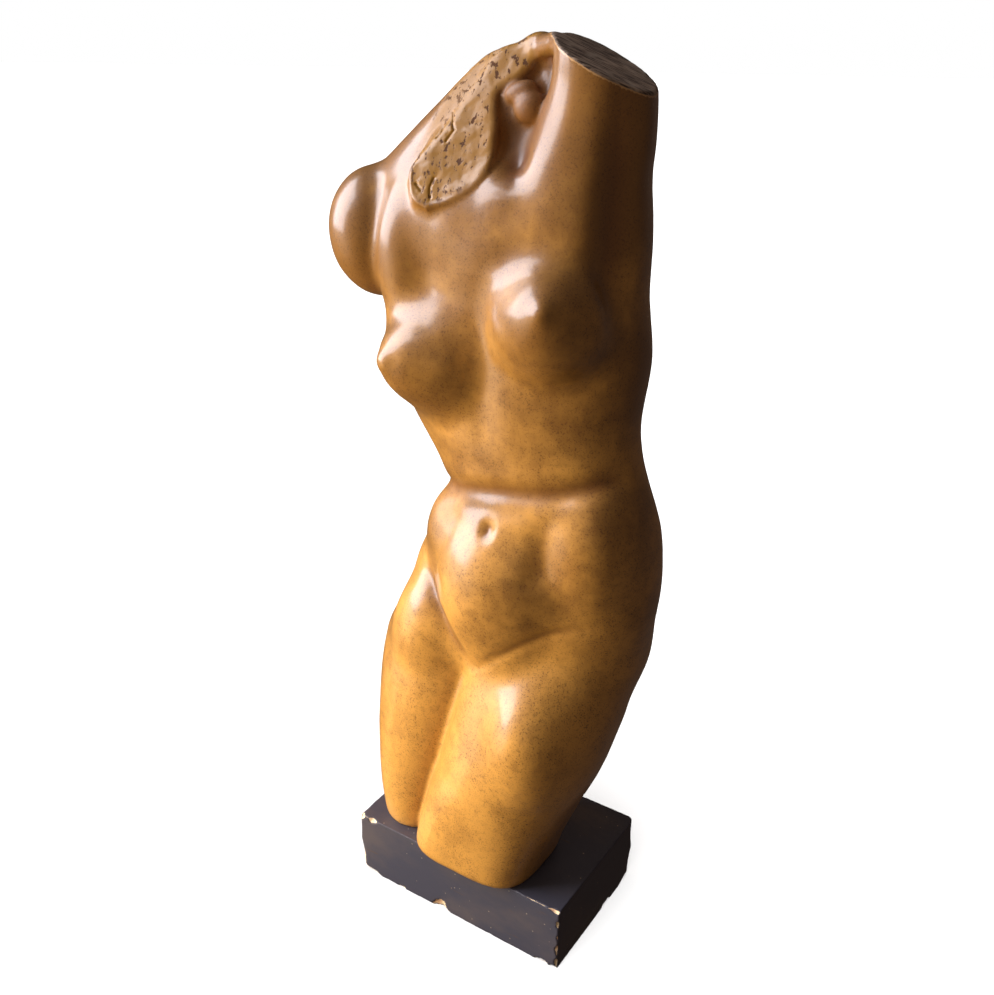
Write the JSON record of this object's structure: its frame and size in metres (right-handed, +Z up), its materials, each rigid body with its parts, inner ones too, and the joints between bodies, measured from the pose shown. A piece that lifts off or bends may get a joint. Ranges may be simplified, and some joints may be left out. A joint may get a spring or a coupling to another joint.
{
  "type": "plaster venus torso on a plinth",
  "caption": "Headless standing female torso in amber patinated plaster, one arm raised and cut off, the thighs ending on a small black rectangular plinth.",
  "frame": {"origin": "centre of the plinth's underside", "axes": "+Z up, -Y towards the figure's front, +X towards the figure's left, which is the raised arm's side"},
  "size_m": [0.2834, 0.1692, 0.7138],
  "materials": {
    "figure": "glossy amber-brown shellac patina over cast plaster",
    "plinth": "black satin paint over plaster, chipped at the edges"
  },
  "bodies": {
    "root": {"figure": "figure", "plinth": "plinth"}
  },
  "joints": []
}
